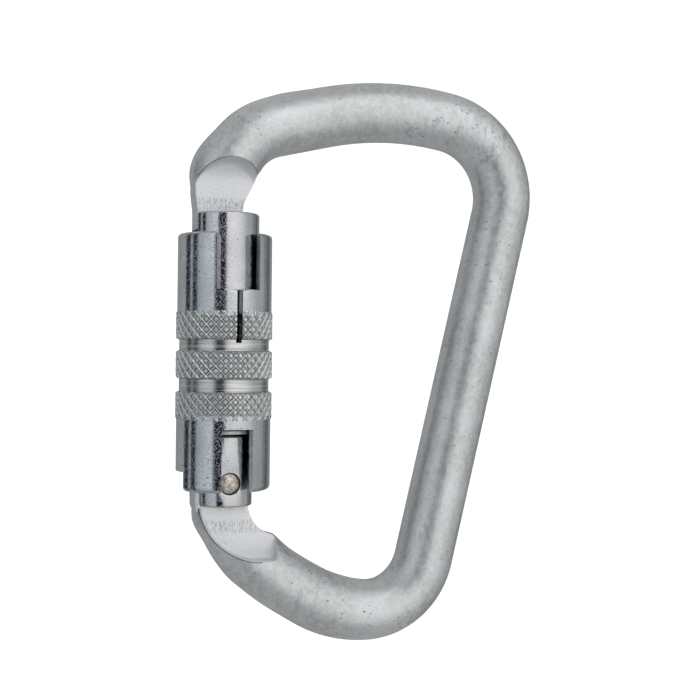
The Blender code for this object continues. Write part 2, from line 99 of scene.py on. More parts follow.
# The bar's corners from the nose to the hinge tongue, each as (x, z, radius of the bend).
CENTRELINE = in_mm(
    (0.0, 46.5, 0.0), (0.0, 67.4, 12.8), (33.0, 75.6, 65.0), (63.3, 70.8, 15.6), (40.4, -27.0, 13.0),
    (23.3, -27.0, 23.4), (0.0, -12.5, 23.6), (0.0, 0.8, 0.0),
)
TONGUE_FACE = 2.4 * MM
TONGUE_EDGE = 6.1 * MM
# How far the forged bar reaches from its centreline near its ends: (distance from the end, reach).
NOSE_OUTER = in_mm(
    (6.0, 6.1), (9.0, 6.7), (13.0, 7.35), (20.0, 5.8), (26.0, 5.8), (31.0, 6.15), (38.0, 6.0),
)
HINGE_OUTER = in_mm((3.0, 6.1), (6.5, 7.0), (11.0, 6.25), (16.0, 6.15), (21.0, 5.8), (27.0, 6.0))
HINGE_INNER = in_mm((14.0, 6.0), (19.0, 6.3), (27.0, 6.15), (37.0, 6.5), (50.0, 6.0))
NOSE_EDGE = in_mm((-6.1, 52.2), (-6.55, 56.0), (-6.5, 60.0))
NOSE_FLAT_RADIUS = 7.0 * MM
NOSE_FLAT_HEIGHT = 55.3 * MM
NOSE_INNER_EDGE = 2.8 * MM
NOSE_LOBE = in_mm((2.8, 52.3), (3.2, 54.3), (4.1, 56.2), (5.0, 57.9), (5.6, 59.6), (7.2, 61.0))
HINGE_EDGE = in_mm((7.0, -10.0), (3.0, -12.0), (-4.6, -8.0), (-6.0, -4.6))
HINGE_FLAT_RIGHT = 10.0 * MM
HINGE_FLAT_BOTTOM = -15.2 * MM
HINGE_FLAT_LEFT = -5.4 * MM
HINGE_FLAT_CORNER = 12.0 * MM
HINGE_FLAT_END_CORNER = 1.2 * MM
HINGE_LEDGE = -4.9 * MM
# The hollow radius along the foot of each flat, and the steps that round it.
NOSE_FOOT = 1.7 * MM
HINGE_FOOT = 0.8 * MM
FOOT_STEPS = 8
HINGE_RELIEF = (11.1 * MM, -4.1 * MM)
HINGE_RELIEF_RADIUS = 6.6 * MM
CAM_RADIUS = 5.0 * MM
CAM_RISE = 2.4 * MM
CAM_SPAN = math.radians(27)
RIVET_HOLE = 2.15 * MM
GAP = 0.3 * MM
REACH = 10.0 * MM
CUT_PAST = 1.2 * MM
MILLED_EDGE = 0.16 * MM

# ---------------------------------------------------------------- gate
LOWER_RADIUS = 5.8 * MM
LOWER_TOP = 9.1 * MM
WAIST_RADIUS = 4.4 * MM
SHOULDER = 32.2 * MM
BARREL_EDGE = 0.5 * MM
SLOTTED_EDGE = 0.12 * MM
FORK_TOP = 7.0 * MM
SLOT_FLOOR = 47.0 * MM
BORE_RADIUS = 1.95 * MM
BORE_TOP = 24.0 * MM
RING_BORE = 4.75 * MM
# Each spring's wire radius and number of turns, and how much of a turn closes up at its ends.
SLEEVE_SPRING = (0.5 * MM, 6)
GATE_SPRING = (0.28 * MM, 8)
CLOSED_TURN = 0.8

SLEEVE_RADIUS = 9.15 * MM
GROOVE_RADIUS = 8.7 * MM
SLEEVE_BORE = 6.85 * MM
SLEEVE_TOP_EDGE = 0.7 * MM
SLEEVE_BOTTOM_EDGE = 0.9 * MM
KNURL_BANDS = in_mm((12.1, 17.5), (20.0, 25.4), (27.5, 33.0))
KNURL_CELLS = 30
SAMPLES_PER_CELL = 16
RIDGE_HEIGHT = 0.36 * MM
KNURL_RUN_OUT = 0.9 * MM
KNURL_OUTER_RISE = 0.35 * MM
KNURL_GROOVE_RISE = 0.4 * MM
RIDGE_LEAD = 0.12 * MM
# Rows of the plain stretches: their spacing, and two close to each knurled band.
PLAIN_STEP = 0.6 * MM
BAND_GAPS = (0.05 * MM, 0.12 * MM)
FRONT_TURN = math.radians(4.5)
NOTCH_WIDTH = 8.6 * MM
NOTCH_FLOOR = 37.0 * MM
SLIT_WIDTH = 1.1 * MM
SLIT_BOTTOM = 26.9 * MM
WINDOW_WIDTH = 6.3 * MM
WINDOW_TOP = 10.5 * MM
OUTER_SLOT_TURN = math.radians(-104)
OUTER_SLOT_WIDTH = 10.4 * MM
OUTER_SLOT_TOP = 2.2 * MM
NOTCH_CHAMFER = 0.45 * MM
SLIT_CHAMFER = 0.02 * MM
WINDOW_CHAMFER = 0.18 * MM
OUTER_SLOT_CHAMFER = 0.12 * MM
SLEEVE_LIFT = 4.0 * MM
SLEEVE_TWIST = math.radians(90)
# The round edges of both flats, along which a line of painted shade runs: centre (x, z), radius, lowest and
# highest z, and largest x.
FLAT_EDGES = (
    (0.0, NOSE_FLAT_HEIGHT, NOSE_FLAT_RADIUS,
     NOSE_FLAT_HEIGHT + 3.3 * MM, NOSE_FLAT_HEIGHT + REACH, REACH),
    (HINGE_FLAT_LEFT + HINGE_FLAT_CORNER, HINGE_FLAT_BOTTOM + HINGE_FLAT_CORNER, HINGE_FLAT_CORNER,
     HINGE_FLAT_BOTTOM - CUT_PAST, HINGE_LEDGE, HINGE_FLAT_LEFT + HINGE_FLAT_CORNER),
)
PIN_RADIUS = 0.9 * MM
PIN_HEIGHT = 5.5 * MM
POCKET_RADIUS = 8.2 * MM

# ---------------------------------------------------------------- small mesh tools
SMOOTH_ANGLE = math.radians(32)


def arc(centre, radius, start, end, steps):
    """Points (across, up) on an arc, angles anticlockwise from the first axis, ends included."""
    points = []
    for step in range(steps + 1):
        angle = start + (end - start) * step / steps
        points.append((centre[0] + radius * math.cos(angle), centre[1] + radius * math.sin(angle)))
    return points


def circle(centre, radius, segments):
    return arc(centre, radius, 0, math.tau, segments)[:-1]


def object_from(name, shape, finish=None, smooth=SMOOTH_ANGLE):
    """A bmesh as an object placed at the rivet's centre."""
    bmesh.ops.recalc_face_normals(shape, faces=shape.faces)
    mesh = bpy.data.meshes.new(name)
    shape.to_mesh(mesh)
    shape.free()
    mesh.shade_smooth()
    mesh.set_sharp_from_angle(angle=smooth)
    if finish:
        mesh.materials.append(finish)
    made = bpy.data.objects.new(name, mesh)
    bpy.context.scene.collection.objects.link(made)
    made.location = RIVET
    return made


def bake(target):
    """Replaces the object's mesh with what its modifiers make of it."""
    bpy.context.view_layer.update()
    graph = bpy.context.evaluated_depsgraph_get()
    done = bpy.data.meshes.new_from_object(target.evaluated_get(graph))
    target.modifiers.clear()
    target.data = done


def combine(target, tools, operation="DIFFERENCE"):
    """Exact Booleans with throw-away tools, whose finishes carry over to the faces that they make."""
    for tool in tools:
        modifier = target.modifiers.new(tool.name, "BOOLEAN")
        modifier.operation = operation
        modifier.solver = "EXACT"
        modifier.material_mode = "TRANSFER"
        modifier.object = tool
    bake(target)
    for tool in tools:
        bpy.data.objects.remove(tool, do_unlink=True)


def soften(target, width, angle=35):
    """Rounds the crisp edges left by the cutters."""
    modifier = target.modifiers.new("soft_edges", "BEVEL")
    modifier.width = width
    modifier.segments = 2
    modifier.limit_method = "ANGLE"
    modifier.angle_limit = math.radians(angle)
    modifier.use_clamp_overlap = True
    modifier.loop_slide = False


def finish_piece(target, body, nodes, smooth=SMOOTH_ANGLE):
    """Bakes a piece and its place, shades it smooth with sharp corners and hands it to its body."""
    bake(target)
    bpy.context.view_layer.update()
    target.data.transform(target.matrix_world)
    target.matrix_world = Matrix.Identity(4)
    target.data.shade_smooth()
    target.data.set_sharp_from_angle(angle=smooth)
    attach(target, body)
    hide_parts(*nodes)


def plate(outline, near, far):
    """An outline of (x, z) points, extruded along Y from near to far."""
    shape = bmesh.new()
    front = [shape.verts.new((x, near, z)) for x, z in outline]
    face = shape.faces.new(front)
    made = bmesh.ops.extrude_face_region(shape, geom=[face])
    moved = [item for item in made["geom"] if isinstance(item, bmesh.types.BMVert)]
    bmesh.ops.translate(shape, verts=moved, vec=(0, far - near, 0))
    return shape


def skin(shape, rings):
    """Walls between neighbouring rings of equal counts, then a cap on each end."""
    walls = []
    for first, second in zip(rings, rings[1:]):
        for index in range(len(first)):
            beside = (index + 1) % len(first)
            corners = (first[index], first[beside], second[beside], second[index])
            walls.append(shape.faces.new(corners))
    shape.faces.new(rings[0])
    shape.faces.new(rings[-1])
    return walls


def lofted(sections):
    """A closed solid through outlines with equal counts of (x, z) points, given as (y, outline)."""
    shape = bmesh.new()
    skin(shape, [[shape.verts.new((x, y, z)) for x, z in outline] for y, outline in sections])
    return shape


def turned(profile, segments):
    """A closed profile of (radius, height) points, turned about Z. Radius 0 closes on the axis."""
    shape = bmesh.new()
    rings = []
    for radius, height in profile:
        if radius == 0:
            rings.append([shape.verts.new((0, 0, height))] * segments)
            continue
        ring = []
        for segment in range(segments):
            angle = math.tau * segment / segments
            ring.append(shape.verts.new((radius * math.cos(angle), radius * math.sin(angle), height)))
        rings.append(ring)
    for first, second in zip(rings, rings[1:] + rings[:1]):
        for segment in range(segments):
            beside = (segment + 1) % segments
            corners = [first[segment], first[beside], second[beside], second[segment]]
            unique = list(dict.fromkeys(corners))
            if len(unique) > 2:
                shape.faces.new(unique)
    return shape


def rounded_profile(corners, radius, steps=4):
    """A closed profile whose corners off the axis are rounded."""
    points = []
    count = len(corners)
    for index, corner in enumerate(corners):
        here = Vector(corner)
        before = Vector(corners[index - 1])
        after = Vector(corners[(index + 1) % count])
        if here.x == 0:
            points.append(tuple(corner))
            continue
        back = (before - here).normalized()
        ahead = (after - here).normalized()
        half = back.angle(ahead) / 2
        most = min((before - here).length, (after - here).length) * 0.45
        reach = min(radius / math.tan(half), most)
        round_radius = reach * math.tan(half)
        centre = here + (back + ahead).normalized() * (round_radius / math.sin(half))
        first = here + back * reach - centre
        last = here + ahead * reach - centre
        for step in range(steps + 1):
            spoke = first.slerp(last, step / steps).normalized()
            points.append(tuple(centre + spoke * round_radius))
    return points


def tube(points, radius, sides, level):
    """A round wire along points, with flat ends. Each ring starts square to level."""
    shape = bmesh.new()
    rings = []
    points = [Vector(point) for point in points]
    for index, point in enumerate(points):
        earlier = points[max(index - 1, 0)]
        later = points[min(index + 1, len(points) - 1)]
        along = (later - earlier).normalized()
        across = along.cross(level).normalized()
        out = along.cross(across)
        ring = []
        for side in range(sides):
            angle = math.tau * side / sides
            offset = across * math.cos(angle) + out * math.sin(angle)
            ring.append(shape.verts.new(point + offset * radius))
        rings.append(ring)
    skin(shape, rings)
    return shape


# ---------------------------------------------------------------- materials
class Nodes:
    """Short names for the shader nodes that the finishes and the studio share."""

    def __init__(self, tree, place):
        self.tree = tree
        self.place = self.add("ShaderNodeTexCoord").outputs[place]

    def add(self, kind, **settings):
        node = self.tree.nodes.new(kind)
        for key, value in settings.items():
            setattr(node, key, value)
        return node

    def link(self, source, target):
        self.tree.links.new(source, target)

    def feed(self, target, value):
        """Links a socket to another node's output, or sets it to a number or a colour."""
        if isinstance(value, bpy.types.NodeSocket):
            self.link(value, target)
        elif isinstance(value, tuple):
            target.default_value = (*value, 1.0)
        else:
            target.default_value = value

    def split_place(self):
        """The place's X, Y and Z, as outputs of those names."""
        node = self.add("ShaderNodeSeparateXYZ")
        self.link(self.place, node.inputs["Vector"])
        return node.outputs

    def stretched(self, scale, turn=(0.0, 0.0, 0.0)):
        """The place, stretched so that patterns run long in one direction."""
        node = self.add("ShaderNodeMapping")
        node.inputs["Scale"].default_value = scale
        node.inputs["Rotation"].default_value = turn
        self.link(self.place, node.inputs["Vector"])
        return node.outputs["Vector"]

    def noise(self, scale, detail=3.0, roughness=0.55, place=None):
        node = self.add("ShaderNodeTexNoise")
        node.inputs["Scale"].default_value = scale
        node.inputs["Detail"].default_value = detail
        node.inputs["Roughness"].default_value = roughness
        self.link(place or self.place, node.inputs["Vector"])
        return node.outputs["Fac"]

    def cells(self, scale, place=None):
        """Distance to the nearest of many scattered points."""
        node = self.add("ShaderNodeTexVoronoi")
        node.inputs["Scale"].default_value = scale
        self.link(place or self.place, node.inputs["Vector"])
        return node.outputs["Distance"]

    def between(self, value, low, high, out_low=0.0, out_high=1.0, ease="SMOOTHSTEP"):
        """Maps low..high to out_low..out_high, held at both ends."""
        node = self.add("ShaderNodeMapRange", interpolation_type=ease)
        node.inputs["From Min"].default_value = low
        node.inputs["From Max"].default_value = high
        node.inputs["To Min"].default_value = out_low
        node.inputs["To Max"].default_value = out_high
        self.link(value, node.inputs["Value"])
        return node.outputs["Result"]

    def maths(self, operation, first, second=0.0):
        node = self.add("ShaderNodeMath", operation=operation)
        self.feed(node.inputs[0], first)
        self.feed(node.inputs[1], second)
        return node.outputs["Value"]

    def vectors(self, operation, first, second=(0.0, 0.0, 0.0)):
        node = self.add("ShaderNodeVectorMath", operation=operation)
        self.link(first, node.inputs[0])
        node.inputs[1].default_value = second
        return node.outputs

    def mixed(self, share, first, second, blend="MIX"):
        """A colour between two, by share."""
        node = self.add("ShaderNodeMix", data_type="RGBA", blend_type=blend)
        self.feed(node.inputs["Factor"], share)
        self.feed(node.inputs[6], first)
        self.feed(node.inputs[7], second)
        return node.outputs[2]

    def marked(self, colour, mask, strength, towards):
        """The colour, pulled towards another where the mask is, by a strength from 0 to 1."""
        return self.mixed(self.maths("MULTIPLY", mask, strength), colour, towards)


class Finish(Nodes):
    """A metal or polymer whose patterns follow the place on the piece."""

    def __init__(self, name):
        self.made = bpy.data.materials.new(name)
        self.made.use_nodes = True
        super().__init__(self.made.node_tree, "Object")
        self.shader = self.tree.nodes["Principled BSDF"]

    def bumps(self, layers):
        """Stacks (height, depth in metres) layers into one normal."""
        normal = None
        for height, depth in layers:
            node = self.add("ShaderNodeBump")
            node.inputs["Strength"].default_value = 1.0
            node.inputs["Distance"].default_value = depth
            self.link(height, node.inputs["Height"])
            if normal:
                self.link(normal, node.inputs["Normal"])
            normal = node.outputs["Normal"]
        self.link(normal, self.shader.inputs["Normal"])

    def surface(self, colour, roughness, metallic=1.0):
        self.link(colour, self.shader.inputs["Base Color"])
        self.link(roughness, self.shader.inputs["Roughness"])
        self.shader.inputs["Metallic"].default_value = metallic
        return self.made


def painted_edge_shade(n):
    """A fine dark line of painted shade on the round bar, just outside the milled flats, standing in for the
    shade at their crisp edges.
    """
    place = n.split_place()
    mask = None
    for centre_x, centre_z, radius, low, high, right in FLAT_EDGES:
        across = n.maths("SUBTRACT", place["X"], RIVET.x + centre_x)
        up = n.maths("SUBTRACT", place["Z"], RIVET.z + centre_z)
        squares = n.maths("ADD", n.maths("MULTIPLY", across, across), n.maths("MULTIPLY", up, up))
        off = n.maths("SUBTRACT", n.maths("POWER", squares, 0.5), radius + 0.1 * MM)
        line = n.between(n.maths("ABSOLUTE", off), 0.05 * MM, 0.16 * MM, 1.0, 0.0)
        line = n.maths("MULTIPLY", line, n.maths("GREATER_THAN", place["Z"], RIVET.z + low))
        line = n.maths("MULTIPLY", line, n.maths("LESS_THAN", place["Z"], RIVET.z + high))
        line = n.maths("MULTIPLY", line, n.maths("LESS_THAN", across, right - centre_x))
        mask = n.maths("MAXIMUM", mask, line) if mask else line
    return mask


def zinc_body():
    """Dull galvanised bar: mottled grain, shallow dimples, smudges, and small dark nicks and specks, with a
    line of painted shade along the flats' edges.
    """
    n = Finish("galvanised_bar")
    clouds = n.noise(85.0, 4.0)
    grain = n.noise(2300.0, 4.0, 0.75)
    dimples = n.noise(420.0, 2.0)
    mottle = n.noise(900.0, 4.0, 0.75)
    colour = n.mixed(n.between(clouds, 0.35, 0.68), (0.58, 0.59, 0.59), (0.72, 0.73, 0.735))
    colour = n.mixed(n.between(mottle, 0.4, 0.6, 0.0, 0.5), colour, (0.86, 0.87, 0.88))
    specks = n.between(grain, 0.53, 0.64)
    colour = n.marked(colour, specks, 0.3, (0.36, 0.37, 0.39))
    smudge_area = n.between(n.noise(70.0, 3.0, 0.6), 0.5, 0.66)
    smudge_mark = n.between(n.noise(800.0, 4.0, 0.75, n.stretched((1.0, 1.0, 0.5))), 0.5, 0.62)
    smudges = n.maths("MULTIPLY", smudge_area, smudge_mark)
    colour = n.marked(colour, smudges, 0.45, (0.3, 0.31, 0.33))
    nick_area = n.between(n.noise(150.0, 2.0), 0.44, 0.54)
    nick = n.between(n.cells(480.0, n.stretched((1.0, 1.0, 1.6))), 0.06, 0.16, 1.0, 0.0)
    nicks = n.maths("MULTIPLY", nick, nick_area)
    colour = n.marked(colour, nicks, 0.7, (0.2, 0.22, 0.27))
    # Painted shade: a dark line on the bar along the round edges of the flats.
    colour = n.marked(colour, painted_edge_shade(n), 0.8, (0.14, 0.145, 0.15))
    roughness = n.between(mottle, 0.25, 0.75, 0.33, 0.45)
    n.bumps([(dimples, 0.06 * MM), (mottle, 0.055 * MM), (grain, 0.03 * MM), (nicks, -0.06 * MM)])
    return n.surface(colour, roughness, 0.9)


def milled_flat():
    """Brighter milled and tumbled flats, with faint tool lines, scuffs and a trace of old oil, and painted
    shade darkening the top of the nose flat.
    """
    n = Finish("milled_tongue")
    grain = n.noise(2600.0, 3.0, 0.75)
    lines = n.noise(900.0, 2.0, 0.5, n.stretched((1.0, 1.0, 0.07)))
    colour = n.mixed(n.between(grain, 0.3, 0.7), (0.72, 0.73, 0.75), (0.86, 0.865, 0.87))
    height = n.split_place()["Z"]
    # Painted shade: the nose flat darkens towards its top, under the bar's edge.
    shade = n.between(height, RIVET.z + 57.6 * MM, RIVET.z + 60.6 * MM)
    colour = n.marked(colour, shade, 0.55, (0.5, 0.505, 0.52))
    scuffs = n.between(n.noise(2100.0, 4.0, 0.75, n.stretched((1.2, 1.0, 0.3))), 0.48, 0.58)
    nose_band = edge_band(n, height, RIVET.z + 53.7 * MM, 1.5 * MM)
    heel_band = edge_band(n, height, RIVET.z - 8.6 * MM, 1.7 * MM)
    bands = n.maths("MAXIMUM", nose_band, heel_band)
    marks = n.maths("MULTIPLY", scuffs, bands)
    colour = n.marked(colour, marks, 0.7, (0.33, 0.34, 0.36))
    oil_band = edge_band(n, height, RIVET.z - 5.6 * MM, 0.9 * MM)
    oil = n.maths("MULTIPLY", n.between(n.noise(420.0, 3.0), 0.5, 0.62), oil_band)
    colour = n.marked(colour, oil, 0.6, (0.62, 0.6, 0.36))
    pit = n.between(n.cells(420.0), 0.04, 0.1, 1.0, 0.0)
    pits = n.maths("MULTIPLY", pit, n.between(n.noise(260.0, 2.0), 0.52, 0.6))
    colour = n.marked(colour, pits, 0.7, (0.3, 0.31, 0.38))
    roughness = n.between(grain, 0.25, 0.75, 0.46, 0.58)
    n.bumps([(lines, 0.016 * MM), (grain, 0.03 * MM), (pits, -0.03 * MM)])
    return n.surface(colour, roughness, 0.75)


def edge_band(n, height, centre, half):
    """1 at a height, fading to 0 on both sides."""
    away = n.maths("ABSOLUTE", n.maths("SUBTRACT", height, centre))
    return n.between(away, 0.3 * half, half, 1.0, 0.0)


def plated(name, low, high, tint_rough, ring_depth, speck):
    """Bright zinc-plated turned steel: peppered with tiny pits, hair scratches and turning rings."""
    n = Finish(name)
    clouds = n.noise(140.0, 3.0)
    grain = n.noise(2600.0, 3.0, 0.75)
    colour = n.mixed(n.between(clouds, 0.35, 0.7), low, high)
    pepper = n.maths("MULTIPLY", n.between(grain, 0.56, 0.62), n.between(clouds, 0.3, 0.6, 0.4, 1.0))
    colour = n.marked(colour, pepper, 0.32, (0.24, 0.25, 0.3))
    pit = n.between(n.cells(700.0), 0.06, 0.15, 1.0, 0.0)
    pits = n.maths("MULTIPLY", pit, n.between(n.noise(260.0, 2.0), 0.44, 0.54))
    colour = n.marked(colour, pits, 0.8, (0.16, 0.17, 0.22))
    hair = n.between(n.noise(900.0, 4.0, 0.8, n.stretched((1.0, 1.0, 0.18), (0.5, 0.35, 0.0))), 0.62, 0.7)
    hairs = n.maths("MULTIPLY", hair, n.between(n.noise(170.0, 2.0), 0.46, 0.6))
    colour = n.marked(colour, hairs, 0.5, (0.3, 0.31, 0.36))
    roughness = n.between(clouds, 0.3, 0.7, tint_rough[0], tint_rough[1])
    roughness = n.maths("ADD", roughness, n.maths("MULTIPLY", hairs, 0.15))
    rings = n.noise(1400.0, 2.0, 0.6, n.stretched((0.02, 0.02, 1.0)))
    beads = n.between(n.noise(4200.0, 1.0), 0.55, 0.68)
    n.bumps([(rings, ring_depth), (grain, speck), (beads, 0.012 * MM), (pits, -0.03 * MM)])
    return n.surface(colour, roughness)


def turned_groove():
    """The grooves between the knurled bands: fine turning rings that soften what they reflect."""
    n = Finish("turned_groove")
    rings = n.noise(2900.0, 2.0, 0.6, n.stretched((0.03, 0.03, 1.0)))
    grain = n.noise(3600.0, 2.0, 0.6)
    colour = n.mixed(n.between(rings, 0.38, 0.62), (0.5, 0.495, 0.5), (0.8, 0.795, 0.795))
    colour = n.marked(colour, n.between(grain, 0.6, 0.7), 0.35, (0.3, 0.3, 0.33))
    roughness = n.between(rings, 0.3, 0.7, 0.2, 0.32)
    n.bumps([(grain, 0.012 * MM)])
    return n.surface(colour, roughness)


def knurl_steel():
    """The knurled bands: grey cells, with painted shade darkening the valleys round them and a painted
    highlight brightening the ridges.
    """
    n = Finish("plated_knurl")
    level = n.add("ShaderNodeAttribute", attribute_name="ridge").outputs["Fac"]
    uncut = n.add("ShaderNodeAttribute", attribute_name="uncut").outputs["Fac"]
    grain = n.noise(3600.0, 3.0, 0.75)
    blotch = n.noise(1100.0, 3.0, 0.7)
    cell = n.mixed(n.between(blotch, 0.35, 0.65), (0.62, 0.64, 0.635), (0.88, 0.9, 0.89))
    cell = n.marked(cell, n.between(grain, 0.54, 0.64), 0.6, (0.26, 0.27, 0.28))
    # Painted shade: the valleys beside each ridge are darkened.
    colour = n.mixed(n.between(level, 0.02, 0.38), (0.27, 0.28, 0.285), cell)
    # Painted highlight: the crests of the ridges are brightened.
    colour = n.mixed(n.between(level, 0.72, 0.96), colour, (0.93, 0.95, 0.95))
    colour = n.mixed(n.between(uncut, 0.3, 0.8), colour, (0.66, 0.68, 0.69))
    roughness = n.between(level, 0.2, 1.0, 0.46, 0.28)
    roughness = n.maths("SUBTRACT", roughness, n.between(uncut, 0.3, 0.8, 0.0, 0.26))
    n.bumps([(blotch, 0.04 * MM), (grain, 0.05 * MM)])
    return n.surface(colour, roughness)


def cut_wall(name, shade_depth, rough, metallic):
    """Walls of an opening in the sleeve: plain steel outside, going black towards the bore with painted
    shade where the gap lies in shadow.
    """
    n = Finish(name)
    from_axis = n.vectors("SUBTRACT", n.place, RIVET)["Vector"]
    across = n.vectors("MULTIPLY", from_axis, (1.0, 1.0, 0.0))["Vector"]
    distance = n.vectors("LENGTH", across)["Value"]
    blotch = n.noise(900.0, 3.0)
    lines = n.noise(1800.0, 2.0, 0.6, n.stretched((1.0, 1.0, 0.1)))
    steel = n.mixed(n.between(blotch, 0.35, 0.65), (0.42, 0.44, 0.45), (0.6, 0.61, 0.62))
    ragged = n.maths("ADD", distance, n.between(blotch, 0.3, 0.7, -0.1 * MM, 0.1 * MM))
    # Painted shade: the wall turns black towards the bore, where the gap between sleeve and barrel lies in
    # shadow.
    gap_shade = n.between(ragged, SLEEVE_BORE + 0.5 * shade_depth, SLEEVE_BORE + 1.2 * shade_depth, 1.0, 0.0)
    colour = n.mixed(gap_shade, steel, (0.015, 0.016, 0.02))
    roughness = n.between(lines, 0.3, 0.7, rough[0], rough[1])
    n.bumps([(lines, 0.008 * MM), (blotch, 0.01 * MM)])
    return n.surface(colour, roughness, metallic)


def small_steel(name, low, high, rough, metallic=1.0):
    """Hidden wires, rings and pins: drawn or pressed metal with fine lines and specks."""
    n = Finish(name)
    lines = n.noise(2200.0, 2.0, 0.6, n.stretched((1.0, 1.0, 0.15)))
    blotch = n.noise(700.0, 3.0)
    colour = n.mixed(n.between(blotch, 0.35, 0.65), low, high)
    roughness = n.between(lines, 0.3, 0.7, rough[0], rough[1])
    n.bumps([(lines, 0.006 * MM), (blotch, 0.006 * MM)])
    return n.surface(colour, roughness, metallic)


# ---------------------------------------------------------------- body pieces
def bend(before, corner, after, radius):
    """The arc of a radius that rounds a corner between two straight runs."""
    corner = Vector(corner)
    back = (Vector(before) - corner).normalized()
    ahead = (Vector(after) - corner).normalized()
    half = back.angle(ahead) / 2
    start = corner + back * (radius / math.tan(half))
    end = corner + ahead * (radius / math.tan(half))
    centre = corner + (back + ahead).normalized() * (radius / math.sin(half))
    steps = max(2, round((math.pi - 2 * half) / BEND_STEP))
    points = []
    for step in range(steps + 1):
        spoke = (start - centre).slerp(end - centre, step / steps)
        points.append(centre + spoke.normalized() * radius)
    return points


def bar_centreline():
    """The bar's centreline, with extra points along its straight runs."""
    corners = [(x, z) for x, z, _ in CENTRELINE]
    points = [Vector(corners[0])]
    for index in range(1, len(corners) - 1):
        points += bend(corners[index - 1], corners[index], corners[index + 1], CENTRELINE[index][2])
    points.append(Vector(corners[-1]))
    line = [points[0]]
    for point in points[1:]:
        start = line[-1]
        steps = max(1, round((point - start).length / STRAIGHT_STEP))
        line += [start.lerp(point, step / steps) for step in range(1, steps + 1)]
    return line


def reach_at(distance, stations):
    """The reach at a distance from the bar's end, eased between stations."""
    if distance <= stations[0][0]:
        return stations[0][1]
    for (start, first), (end, last) in zip(stations, stations[1:]):
        if distance <= end:
            share = (distance - start) / (end - start)
            return first + (last - first) * share * share * (3 - 2 * share)
    return stations[-1][1]


def make_bar(line):
    """The bar: a round section whose outer and inner halves reach as the stations say."""
    travelled = [0.0]
    for start, end in zip(line, line[1:]):
        travelled.append(travelled[-1] + (end - start).length)
    shape = tube([(x, 0.0, z) for x, z in line], BAR_RADIUS, BAR_SIDES, Vector((0, 1, 0)))
    shape.verts.ensure_lookup_table()
    for index, centre in enumerate(line):
        from_nose = travelled[index]
        from_hinge = travelled[-1] - travelled[index]
        nearer_nose = from_nose < from_hinge
        outer = reach_at(from_nose, NOSE_OUTER) if nearer_nose else reach_at(from_hinge, HINGE_OUTER)
        inner = BAR_RADIUS if nearer_nose else reach_at(from_hinge, HINGE_INNER)
        earlier = line[max(index - 1, 0)]
        later = line[min(index + 1, len(line) - 1)]
        along = (later - earlier).normalized()
        outward = Vector((-along.y, 0.0, along.x))
        middle = Vector((centre.x, 0.0, centre.y))
        for vert in shape.verts[index * BAR_SIDES:(index + 1) * BAR_SIDES]:
            side = (vert.co - middle).dot(outward)
            stretch = (outer if side > 0 else inner) / BAR_RADIUS
            vert.co += outward * side * (stretch - 1.0)
    return shape


def eased_line(points, steps):
    """A smooth line through the points, with steps between each two."""
    line = []
    for index in range(len(points) - 1):
        before = Vector(points[max(index - 1, 0)])
        start = Vector(points[index])
        end = Vector(points[index + 1])
        after = Vector(points[min(index + 2, len(points) - 1)])
        for step in range(steps):
            share = step / steps
            drift = (end - before) / 2
            arrive = (after - start) / 2
            fall = end * (3 * share ** 2 - 2 * share ** 3) + start * (1 - 3 * share ** 2 + 2 * share ** 3)
            lean = drift * (share - 2 * share ** 2 + share ** 3) + arrive * (share ** 3 - share ** 2)
            line.append(tuple(fall + lean))
    line.append(points[-1])
    return line


def nose_flat(shrink):
    """The nose flat's outline, with its round end pulled in by shrink except on the outer side."""
    side = NOSE_FLAT_RADIUS + GAP
    below = CENTRELINE[0][1] - GAP
    crown = []
    steps = 48
    for step in range(steps + 1):
        angle = math.pi * step / steps
        share = 1.0 if angle < math.pi / 2 else math.sin(angle) ** 2
        radius = NOSE_FLAT_RADIUS - shrink * share
        crown.append((radius * math.cos(angle), NOSE_FLAT_HEIGHT + radius * math.sin(angle)))
    return [(side, below), (side, NOSE_FLAT_HEIGHT), *crown, (-side, NOSE_FLAT_HEIGHT), (-side, below)]


def hinge_flat(shrink):
    """The hinge flat's outline, with its curved foot pulled in by shrink."""
    centre = (HINGE_FLAT_LEFT + HINGE_FLAT_CORNER, HINGE_FLAT_BOTTOM + HINGE_FLAT_CORNER)
    radius = HINGE_FLAT_CORNER - shrink
    below_ledge = math.pi + math.asin((centre[1] - HINGE_LEDGE) / radius)
    sweep = arc(centre, radius, below_ledge, 1.5 * math.pi, 32)
    small = HINGE_FLAT_END_CORNER
    end_centre = (HINGE_FLAT_RIGHT - small, HINGE_FLAT_BOTTOM + small + shrink)
    corner = arc(end_centre, small, 1.5 * math.pi, math.tau, 6)
    top = CAM_RADIUS + BAR_RADIUS
    side = -BAR_RADIUS - CUT_PAST
    return [(side, top), (side, HINGE_LEDGE), *sweep, *corner, (HINGE_FLAT_RIGHT, top)]


def flat_tools(name, outline_for, foot, finish):
    """The two cutters that mill a flat on both faces, with a hollow round foot."""
    tools = []
    for side in (-1, 1):
        sections = []
        for step in range(FOOT_STEPS + 1):
            turn = math.pi / 2 * step / FOOT_STEPS
            depth = TONGUE_FACE + foot * (1.0 - math.cos(turn))
            sections.append((side * depth, outline_for(foot * (1.0 - math.sin(turn)))))
        sections.append((side * REACH, outline_for(0.0)))
        tools.append(object_from(f"{name}_{side + 1}", lofted(sections), finish))
    return tools


